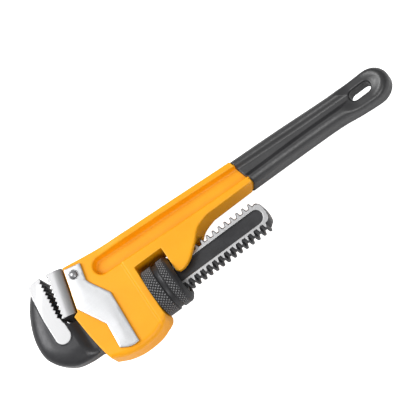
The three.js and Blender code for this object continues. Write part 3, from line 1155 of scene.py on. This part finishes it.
@dataclass
class HookJaw:
    """The forged hook with its ground flats and teeth, and the threaded shank behind it."""

    arm_half: float = 10.0
    back_half: float = 9.6
    shank_half: float = 6.0
    shank_plain: float = 11.2
    pitch: float = 5.08
    thread_tip: float = 12.4
    thread_root: float = 9.4
    first_tip: float = 0.27
    tip_flat: float = 1.3
    flank: float = 0.9
    rack: tuple[float, float] = (-69.0, 26.0)
    end: tuple[float, float] = (27.0, 31.4)
    tooth_rows: tuple[tuple[float, float], tuple[float, float]] = ((-128.3, 24.8), (-125.3, 56.0))
    tooth_depth: float = 1.6
    tooth_count: int = 10
    channel: tuple[float, float, float] = (-60.0, 22.8, 5.35)
    channel_y: float = -0.2
    channel_depth: float = 1.3
    rim: float = 0.35
    flat_land: float = 0.35
    back_steep: float = 0.66
    back_lift: float = 0.5
    neck_round: float = 3.4
    back_round: float = 8.5
    arm_end: float = -112.0
    shank_start: float = -118.0

    def __post_init__(self) -> None:
        """Works out the hook's plans."""
        front, rear, half = self.channel
        self.hook_plan = Plan(self.hook_outline(), step=0.2)
        self.back_plan = Plan(self.back_outline(), step=0.25)
        self.flat_plan = Plan(self.flat_outline(), step=0.2)
        channel = round_slot((front + rear) / 2, self.channel_y, rear - front + 2 * half, 2 * half)
        self.channel_plan = Plan(channel)

    def rack_edge(self, side: int) -> Array:
        """One edge of the threaded shank, from front to rear.

        Args:
            side: -1 for the -Y edge, 1 for the +Y edge, whose tips stand half a pitch on.

        Returns:
            Rows of (x, y), four for each tip.
        """
        first = self.first_tip + (self.pitch / 2 if side > 0 else 0)
        start, stop = (math.ceil((x - first) / self.pitch) for x in self.rack)
        tips = first + self.pitch * np.arange(start, stop)[:, None]
        half = self.tip_flat / 2
        x = tips + np.array([-half - self.flank, -half, half, half + self.flank])
        y = side * np.tile([self.thread_root, self.thread_tip, self.thread_tip, self.thread_root], len(tips))
        return np.stack([x.ravel(), y], 1)

    def hook_outline(self) -> Array:
        """Side view of the whole jaw: tip, back, shank with its thread, throat and teeth.

        Returns:
            Rows of (x, y).
        """
        middle, reach = self.end[0], self.end[1] - self.end[0]
        first, last = self.tooth_rows
        return outline(
            [(-125.4, 58.2), (-132.4, 58.2), (-134.6, 57.7), (-136.9, 56)],
            self.back_curve(),
            [(-119, -self.shank_plain), (self.rack[0] - 3, -self.shank_plain)],
            self.rack_edge(-1),
            arc((middle, 0), (reach, self.thread_root + 0.6), -90, 90),
            self.rack_edge(1)[::-1],
            [(self.rack[0] - 3, self.shank_plain), (-113, self.shank_plain), (-119.9, 13.6), (-120.1, 17.2)],
            arc((-121.6, 22), (6.5, 4.5), 262, 198, 10),
            jaw_teeth(first, last, self.tooth_count, -self.tooth_depth),
        )

    @staticmethod
    def back_curve() -> Array:
        """The back of the hook, from beside its tip down to the neck."""
        return spline([(-136.9, 56), (-146, 43.2), (-152.6, 26.5), (-153.6, 11), (-148.6, 0.4),
                       (-138.5, -8.2), (-127, -11.1)])

    def back_outline(self) -> Array:
        """The hook's back, closed well past the teeth so that only the back and the neck are rounded."""
        return outline([(-100, 62), (-134, 62)], self.back_curve(), [(-100, -11.4)])

    @staticmethod
    def flat_outline() -> Array:
        """The ground flat beside the teeth: straight in front, rounded off below."""
        return outline(
            [(-118, 60), (-135.6, 60), (-137.4, 48), (-138.9, 30)],
            arc((-133.2, 12.8), (5.9, 6.1), 180, 350, 14),
            [(-127.4, 22), (-118, 23)],
        )

    def wound(self, x: Array, y: Array, z: Array) -> Array:
        """X drawn back along the thread's lead, so that a straight rack leans as a thread does."""
        lean = self.pitch / (2 * np.pi) * np.arctan2(z * np.sign(y), np.abs(y))
        return x - lean * ramp(np.abs(y), 6, 8) * ramp(x, -80, -72) * ramp(x, 28, 25)

    @staticmethod
    def turned(x: Array, y: Array, z: Array) -> Array:
        """Y on the threaded shank as the distance from its axis, so that the thread's roots are round."""
        share = ramp(x, -78, -72) * ramp(np.abs(y), 5, 8)
        return y + share * (np.sign(y) * np.hypot(y, z) - y)

    def solid(self, x: Array, y: Array, z: Array) -> Array:
        """The jaw as a field: rounded back, flats and shank, cut by the side view with its wound thread.

        Args:
            x: X of the points, in millimetres.
            y: Y of the points.
            z: Z of the points.

        Returns:
            The field at the points, negative inside.
        """
        height = np.abs(z)
        neck = ramp(x, -119.8, -127)
        thick = self.shank_half + (self.back_half - self.shank_half) * neck
        curve = self.neck_round + (self.back_round - self.neck_round) * neck
        back = both(self.back_steep * (self.back_plan(x, y) - self.back_lift), height - thick, curve)
        flat = both(self.flat_plan(x, y), height - self.arm_half, 0.3)
        arm = np.maximum(either(back, flat, 1.2), x - self.arm_end)
        crest = both(np.hypot(y, z) - self.thread_tip, height - self.shank_half, 0.3)
        shank = np.maximum(crest, self.shank_start - x)
        body = either(arm, shank, 0.5)
        body = both(body, self.hook_plan(self.wound(x, y, z), self.turned(x, y, z)), 0.3)
        channel = both(self.channel_plan(x, y), self.shank_half - self.channel_depth - height, 0.5)
        return without(body, channel, 0.25)

    def ground(self, x: Array, y: Array, z: Array) -> Array:
        """How far inside the ground faces a point lies: the flats beside the teeth, and the shank's sides.

        Args:
            x: X of the points, in millimetres.
            y: Y of the points.
            z: Z of the points.

        Returns:
            The depth at the points, below 0 off the ground faces.
        """
        inside = -self.hook_plan(self.wound(x, y, z), self.turned(x, y, z))
        land = np.abs(z) - self.arm_half + self.flat_land
        flat = np.minimum.reduce([inside, -self.flat_plan(x, y), land])
        crest = self.thread_tip - np.hypot(y, z)
        shank = np.minimum.reduce([inside - self.rim, self.channel_plan(x, y), crest])
        return np.maximum(np.where(x < self.shank_start, flat, -1), np.where(x > self.rack[0] - 4, shank, -1))

    def build(self, forging: bpy.types.Material) -> None:
        """Makes the jaw in its finish."""
        Piece("hook_jaw", "hook", "black_forging", forging).build_solid(
            self.solid,
            grid_lines((-154.6, -117.4, 0.42), (-117.4, -72, 0.85), (-72, 32.2, 0.48)),
            grid_lines((-13.2, 13.2, 0.44), (13.2, 59.2, 0.42)),
            grid_lines((-10.6, -9.4, 0.2), (-9.4, -6.4, 0.5), (-6.4, -5.4, 0.2), (-5.4, 5.4, 0.54),
                       (5.4, 6.4, 0.2), (6.4, 9.4, 0.5), (9.4, 10.6, 0.2)),
            self.ground,
        )


# ---- heel jaw, pin and plates ----------------------------------------------------------------------------


@dataclass
class HeelJaw:
    """The toothed block let into the head, the pin that holds it and the plates under the pin's heads."""

    half: float = 10.0
    tongue: Box = ((-118, 26, -5), (-96.5, 49, 5))
    roll: float = 7.0
    roll_flat: float = 0.4
    ground_edge: float = 8.0
    ground_start: float = 0.22
    tooth_rows: tuple[tuple[float, float], tuple[float, float]] = ((-127.3, 24.2), (-121.0, 56.0))
    tooth_depth: float = 1.6
    tooth_count: int = 10
    back_foot: tuple[float, float] = (-116.9, 21.6)
    back_top: tuple[float, float] = (-108.7, 54.9)
    front_foot: tuple[float, float] = (-127.0, 23.0)
    front_top: tuple[float, float] = (-120.4, 57.4)
    pin: tuple[float, float] = (-103.3, 44.0)
    pin_radius: float = 2.4
    head_radius: float = 3.6
    head_height: float = 1.9
    head_sink: float = 0.25
    collar: float = 0.7
    collar_rise: float = 0.35
    groove_rise: float = 0.1
    plate_low: float = 10.0
    plate_high: float = 11.8
    plate_crown: float = 0.12
    plate_bevel: float = 0.3
    crown_reach: float = 8.0
    rim_step: float = 0.8
    lattice_step: float = 1.3
    lattice_margin: float = 1.0

    def __post_init__(self) -> None:
        """Works out the plans of the block and the plates."""
        first, last = self.tooth_rows
        teeth = jaw_teeth(first, last, self.tooth_count, self.tooth_depth)
        shape = outline([self.back_foot, self.front_foot], teeth, [self.front_top, self.back_top])
        self.block_plan = Plan(shape)
        self.plate_plan = Plan(self.plate_outline())

    @staticmethod
    def plate_outline() -> Array:
        """Side view of a plate: a pad under the pin, a waist, and a wide leg down the head.

        Returns:
            Rows of (x, y).
        """
        leg_end = np.array([(-90, -23.4), (-94, -23.6), (-98.5, -22.5), (-103.9, -19.3)])
        return outline(
            [(-107.4, 51.2), (-95.2, 48.4), (-98, 35.6), (-96.6, 31.9), (-88.2, 17.2)],
            spline(leg_end, 5),
            [(-102.5, 0.1), (-114.4, 22)],
        )

    def back_distance(self, x: Array, y: Array) -> Array:
        """Distance behind the block's back face.

        Args:
            x: X of the points, in millimetres.
            y: Y of the points.

        Returns:
            The distances, below 0 in front of the face.
        """
        along = np.subtract(self.back_top, self.back_foot)
        along = along / np.hypot(*along)
        return (x - self.back_foot[0]) * along[1] - (y - self.back_foot[1]) * along[0]

    def block_solid(self, x: Array, y: Array, z: Array) -> Array:
        """The block as a field: toothed in front, rolled off behind, with its tongue and pin hole.

        Args:
            x: X of the points, in millimetres.
            y: Y of the points.
            z: Z of the points.

        Returns:
            The field at the points, negative inside.
        """
        height = np.abs(z)
        behind = self.roll_flat * self.back_distance(x, y)
        sides = both(behind, height - self.half, self.roll_flat * self.roll)
        face = both(self.block_plan(x, y), sides, 0.25)
        hole = np.hypot(x - self.pin[0], y - self.pin[1]) - self.pin_radius - 0.3
        return without(either(face, block(x, y, z, *self.tongue), 0.3), hole, 0.2)

    def block_ground(self, x: Array, y: Array, z: Array) -> Array:
        """How far inside the block's ground sides a point lies, lowered across the rolled back so that the
        steel fades to black there as painted shade.
        """
        # painted shade: the ground depth falls off over the rolled back, darkening it towards the back face
        painted_roll_shade = np.minimum(1, -self.back_distance(x, y) / self.roll)
        return np.minimum(-self.ground_edge * self.block_plan(x, y), self.ground_start + painted_roll_shade)

    def plate_skin(self, side: int) -> tuple[Array, list[list[int]]]:
        """A plate's skin: rims carried round its outline, flat below and crowned across its width above.

        Each rim is the outline drawn in along its mitres. The top lies between the last rim and a
        square lattice of points within it, joined by Delaunay triangles, and drops from the plate's
        middle line to its edge by the crown.

        Args:
            side: 1 for the +Z side, -1 for the -Z side.

        Returns:
            Vertices and faces.
        """
        low, high, bevel = self.plate_low, self.plate_high, self.plate_bevel
        rims = [(0.0, low), (0.0, high - bevel), (0.3 * bevel, high - 0.3 * bevel), (bevel, high)]
        shape = evenly(self.plate_outline(), self.rim_step)
        count = len(shape)
        rings = [np.column_stack([drawn_in(shape, inset), np.full(count, level)]) for inset, level in rims]
        steps = (np.arange(a, b, self.lattice_step) for a, b in zip(shape.min(0), shape.max(0)))
        xs, ys = np.meshgrid(*steps, indexing="ij")
        lattice = np.stack([xs.ravel(), ys.ravel()], 1)
        lattice = lattice[self.plate_plan(*lattice.T) < -self.lattice_margin]
        rim = [(i, (i + 1) % count) for i in range(count)]
        flat = [Vector(p) for p in (*rings[-1][:, :2], *lattice)]
        corners, _, triangles, *_ = delaunay_2d_cdt(flat, rim, [], 1, 1e-5)
        top = np.array([tuple(c) for c in corners])
        top = np.column_stack([top, np.full(len(top), high)])
        points = np.vstack([*rings, top])
        drop = self.plate_crown * ramp(self.plate_plan(*points[:, :2].T), -self.crown_reach, 0)
        points[:, 2] -= drop * (points[:, 2] > low)
        points[:, 2] *= side
        start = count * len(rims)
        faces = grid_faces(len(rims), count, False).tolist() + [list(range(count))]
        faces += [[start + i for i in t][::-1] for t in triangles]
        return points, faces

    def pin_rings(self) -> Array:
        """The pin as rings along it: a shank and two heads, each a ball in a collar with a groove between.

        Returns:
            An array of rings, points in a ring, and (x, y, z).
        """
        dome = np.radians(np.linspace(0, 84, 12))
        groove, rim = self.groove_rise, self.collar_rise
        ball, wide = self.head_radius - self.collar, self.head_radius
        collar = [(self.pin_radius, 0), (wide, 0), (wide, rim), (ball, rim - 0.05), (ball, groove)]
        top = groove + (self.head_height + 0.05) * np.sin(dome)
        radius, height = np.vstack([collar, np.stack([ball * np.cos(dome), top], 1)]).T
        height = height + self.plate_high - self.head_sink
        radius, height = np.append(radius[::-1], radius), np.append(-height[::-1], height)
        angle = np.linspace(0, 2 * np.pi, 48, endpoint=False)
        x, y = (p + radius[:, None] * turn(angle) for p, turn in zip(self.pin, (np.cos, np.sin)))
        return np.stack([x, y, np.broadcast_to(height[:, None], x.shape)], 2)

    def build(self, steel: bpy.types.Material, plate: bpy.types.Material, bright: bpy.types.Material) -> None:
        """Makes the block, the two plates and the pin.

        Args:
            steel: finish of the block.
            plate: finish of the plates.
            bright: finish of the pin.
        """
        Piece("heel_jaw", "handle", "ground_steel", steel).build_solid(
            self.block_solid,
            grid_lines((-128, -107.8, 0.38), (-107.8, -96, 0.7)),
            grid_lines((20.8, 58.2, 0.38)),
            grid_lines((-10.6, -9.4, 0.2), (-9.4, 9.4, 0.5), (9.4, 10.6, 0.2)),
            self.block_ground,
        )
        for name, side in (("side_plate_front", 1), ("side_plate_back", -1)):
            points, faces = self.plate_skin(side)
            Piece(name, "handle", "plate_steel", plate).build_skin(points, faces)
        Piece("heel_jaw_pin", "handle", "bright_pin", bright).build_rings(self.pin_rings(), False)


# ---- nut and springs ---------------------------------------------------------------------------------------


@dataclass
class AdjustingNut:
    """The knurled nut: two bands of diamond knurl, a groove between them and a thread inside."""

    radius: float = 18.25
    bore: float = 12.9
    front: float = -64.6
    rear: float = -43.1
    knurls: int = 46
    knurl_depth: float = 0.9
    knurl_pitch: float = 2.6
    bands: tuple[tuple[float, float], tuple[float, float]] = ((-64.2, -56.2), (-52.0, -46.6))
    ridge: float = 0.9
    pitch: float = 5.08
    first_ridge: float = 0.27
    columns: int = 736
    groove: Points = ((8.5, 0), (9, 0.9), (10.5, 1.1), (12, 0.9), (12.5, 0))
    dome: Points = ((3.4, 0), (1.9, 0.7), (0.7, 2.2))
    dome_foot: float = 2.4
    point_flat: float = 2.2
    # rub_from and rub_gain set how far the knurl points pale: partly wear, partly painted highlight
    rub_from: float = 0.3
    rub_gain: float = 1.3

    def profile(self) -> Array:
        """Section of the nut from the front of its bore round the outside and back, as (x, radius).

        Returns:
            Rows of (x, radius).
        """
        front, rear, radius, bore = self.front, self.rear, self.radius, self.bore
        groove = spline([(front + x, radius - depth) for x, depth in self.groove], 4)
        curve = [(rear - x, radius - depth) for x, depth in self.dome]
        dome = spline([*curve, (rear, bore + self.dome_foot)], 5)
        first = level_line(front + 0.5, groove[0, 0], radius, 39)[:-1]
        second = level_line(groove[-1, 0], dome[0, 0], radius, 29)[1:-1]
        inside = level_line(rear - 0.5, front + 0.5, bore, 38)
        return np.vstack([[(front, bore + 0.6), (front, radius - 0.5), (front + 0.15, radius - 0.15)],
                          first, groove, second, dome, [(rear, bore + 0.6)], inside])

    def rings(self) -> tuple[Array, Array]:
        """The nut as rings round X, one for each angle.

        Outside, each band is cut by the lesser of two triangle waves that cross it both ways, held
        level on its points and faded at the band's edges. Inside, a pointed ridge follows the
        thread: it stands where X and the angle's share of the pitch differ by a whole pitch.

        Returns:
            The rings, and how far each point stands above the level from which the finish pales it, partly as
            wear and partly as a painted highlight.
        """
        angle = np.linspace(0, 2 * np.pi, self.columns, endpoint=False)[:, None]
        x, radius = self.profile().T
        turn, along = self.knurls * angle / (2 * np.pi), x / self.knurl_pitch
        waves = [1 - np.abs(2 * ((turn + way * along) % 1) - 1) for way in (-1, 1)]
        outer = radius > self.radius - 0.01
        fade = sum(ramp(x, a, a + 0.5) * ramp(x, b, b - 0.5) for a, b in self.bands) * outer
        height = np.minimum(1, self.point_flat * np.minimum(*waves))
        knurl = self.knurl_depth * fade * (height - 1)
        bored = radius < self.bore + 0.01
        phase = (x - self.first_ridge - self.pitch * angle / (2 * np.pi)) % self.pitch
        away = np.minimum(phase, self.pitch - phase)
        clear = ramp(x, self.front, self.front + 1.5) * ramp(x, self.rear, self.rear - 1.5)
        thread = np.maximum(0, self.ridge - 0.9 * away) * bored * clear
        r = radius + knurl - thread
        rings = np.stack([np.broadcast_to(x, r.shape), r * np.cos(angle), r * np.sin(angle)], 2)
        return rings, fade * (height - self.rub_from) * self.rub_gain

    def build(self, black: bpy.types.Material) -> None:
        """Makes the nut in its finish."""
        rings, standing = self.rings()
        Piece("adjusting_nut", "nut", "black_nut", black).build_rings(rings, True, standing)


@dataclass
class Springs:
    """The flat spring over the shank and the coil spring in its seat behind it."""

    leaf: tuple[float, float] = (-111.0, -69.0)
    leaf_low: float = 12.8
    leaf_bow: float = 0.6
    leaf_thickness: float = 0.7
    leaf_half: float = 5.0
    coil_x: float = -88.0
    coil_radius: float = 3.3
    wire: float = 0.7
    turns: int = 5
    coil: tuple[float, float] = (14.9, 24.2)

    def leaf_rings(self) -> Array:
        """The flat spring: a strip's section with rounded edges, carried along a parabola.

        Returns:
            An array of rings, points in a ring, and (x, y, z).
        """
        share = np.linspace(-1, 1, 41)
        x = (self.leaf[0] + self.leaf[1]) / 2 + share * (self.leaf[1] - self.leaf[0]) / 2
        y = self.leaf_low + self.leaf_thickness / 2 + self.leaf_bow * share**2
        half = self.leaf_thickness / 2
        section = np.vstack([
            arc((0, self.leaf_half - half), (half, half), 0, 180, 6),
            arc((0, half - self.leaf_half), (half, half), 180, 360, 6),
        ])
        rings = np.zeros((len(x), len(section), 3))
        rings[:, :, 0] = x[:, None]
        rings[:, :, 1] = y[:, None] + section[:, 0]
        rings[:, :, 2] = section[:, 1]
        return rings

    def coil_rings(self) -> Array:
        """The coil spring: a round wire carried along a helix about the seat's axis.

        Each ring of the wire lies in the plane through the seat's axis, which a close coil
        crosses almost squarely.

        Returns:
            An array of rings, points in a ring, and (x, y, z).
        """
        share = np.linspace(0, 1, 40 * self.turns + 1)[:, None]
        angle = 2 * np.pi * self.turns * share
        round_wire = np.linspace(0, 2 * np.pi, 12, endpoint=False)
        reach = self.coil_radius + self.wire * np.cos(round_wire)
        x = self.coil_x - reach * np.cos(angle)
        y = self.coil[0] + share * (self.coil[1] - self.coil[0]) + self.wire * np.sin(round_wire)
        return np.stack([x, y, reach * np.sin(angle)], 2)

    def build(self, steel: bpy.types.Material) -> None:
        """Makes both springs in their finish."""
        Piece("flat_spring", "spring_set", "spring_steel", steel).build_rings(self.leaf_rings(), False)
        Piece("coil_spring", "spring_set", "spring_steel", steel).build_rings(self.coil_rings(), False)


# ---- studio -----------------------------------------------------------------------------------------------


@dataclass
class Studio:
    """A plain white floor, soft light and the camera."""

    towards_camera: tuple[float, float, float] = (0.10, -0.36, 0.928)
    aim: tuple[float, float, float] = (-0.0006, 0.0116, 0.01825)
    roll: float = 36.7
    distance: float = 1.7
    width: float = 0.290
    sensor: float = 36.0
    paper_glow: float = 1.0
    floor_half: float = 4.0
    horizon: Colour = (0.36, 0.36, 0.37)
    zenith: Colour = (1.0, 1.0, 1.0)
    sky: float = 0.65

    def camera(self) -> None:
        """Points a long lens at the wrench, turned so that the handle runs up to the right."""
        back = Vector(self.towards_camera).normalized()
        along = (Vector((1, 0, 0)) - back * back.x).normalized()
        across = back.cross(along)
        turn = math.radians(self.roll)
        right = along * math.cos(turn) - across * math.sin(turn)
        up = along * math.sin(turn) + across * math.cos(turn)
        data = bpy.data.cameras.new("camera")
        data.sensor_width = self.sensor
        data.lens = self.sensor * self.distance / self.width
        data.clip_end = 20
        camera = bpy.data.objects.new("camera", data)
        bpy.context.scene.collection.objects.link(camera)
        place = Vector(self.aim) + back * self.distance
        camera.matrix_world = Matrix.Translation(place) @ Matrix((right, up, back)).transposed().to_4x4()
        bpy.context.scene.camera = camera

    def lamp(self, name: str, place: tuple[float, float, float], size: float, watts: float,
             colour: Colour = (1, 1, 1)) -> None:
        """Hangs a square soft light that faces the wrench.

        Args:
            name: its name.
            place: where it hangs, in metres.
            size: its side.
            watts: its power.
            colour: its tint.
        """
        data = bpy.data.lights.new(name, "AREA")
        data.size, data.energy, data.color = size, watts, colour
        lamp = bpy.data.objects.new(name, data)
        bpy.context.scene.collection.objects.link(lamp)
        lamp.location = place
        lamp.rotation_mode = "QUATERNION"
        lamp.rotation_quaternion = (Vector(place) - Vector(self.aim)).to_track_quat("Z", "Y")

    def world(self) -> None:
        """Lights everything softly from a grey sky that pales to white overhead."""
        world = bpy.data.worlds.new("studio")
        world.use_nodes = True
        bpy.context.scene.world = world
        board = Board(world.node_tree)
        way = board.add("ShaderNodeTexCoord").outputs["Generated"]
        upward = board.add("ShaderNodeSeparateXYZ", {0: way}).outputs[2]
        background = world.node_tree.nodes["Background"]
        colour = board.blend(board.span(upward, -0.05, 0.8), self.horizon, self.zenith)
        board.feed(background.inputs["Color"], colour)
        background.inputs["Strength"].default_value = self.sky

    def floor(self) -> None:
        """Lays the white floor under the nut's rim. It glows only to the camera, so it lights nothing."""
        half = self.floor_half
        corners = [(-half, -half, 0), (half, -half, 0), (half, half, 0), (-half, half, 0)]
        mesh = bpy.data.meshes.new("floor")
        mesh.from_pydata(corners, [], [(0, 1, 2, 3)])
        made = bpy.data.materials.new("floor_paper")
        made.use_nodes = True
        board = Board(made.node_tree)
        surface = made.node_tree.nodes["Principled BSDF"].inputs
        fibre = board.noise(board.add("ShaderNodeTexCoord").outputs["Object"], 900.0)
        board.feed(surface["Base Color"], board.blend(fibre, (0.93, 0.93, 0.93), (0.96, 0.96, 0.96)))
        surface["Roughness"].default_value = 0.9
        surface["Specular IOR Level"].default_value = 0.1
        surface["Emission Color"].default_value = (1, 1, 1, 1)
        seen = board.add("ShaderNodeLightPath").outputs["Is Camera Ray"]
        board.feed(surface["Emission Strength"], board.math("MULTIPLY", seen, self.paper_glow))
        mesh.materials.append(made)
        floor = bpy.data.objects.new("floor", mesh)
        bpy.context.scene.collection.objects.link(floor)

    def build(self) -> None:
        """Sets up floor, lights and camera."""
        bpy.context.scene.view_settings.view_transform = "Standard"
        self.camera()
        self.world()
        self.floor()
        self.lamp("key", (-0.95, 0.85, 1.15), 1.0, 22)
        self.lamp("fill", (0.1, -1.1, 1.15), 0.6, 8)


def main() -> None:
    """Builds the wrench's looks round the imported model."""
    make_edge_wear_and_painted_light()
    make_cast_skin()
    make_grinding_marks()
    Studio().build()
    Handle().build(OrangeEnamel().material("orange_enamel"), DippedVinyl().material("dipped_vinyl"))
    HookJaw().build(BlackForging().material("black_forging"))
    HeelJaw().build(
        # the wide burr spreads the heel jaw's fade from steel to black over its rolled back, which is painted
        # shade
        BlackForging(burr=(-0.25, 1.0)).material("ground_jaw_steel"),
        GroundSteel(run=Ground.ALONG).material("plate_steel"),
        GroundSteel(face=(0.36, 0.36, 0.37), shade=(0.32, 0.32, 0.33)).material("bright_pin_steel"),
    )
    AdjustingNut().build(BlackNut().material("black_nut_oxide"))
    Springs().build(SpringSteel().material("tempered_spring"))


if __name__ == "__main__":
    main()
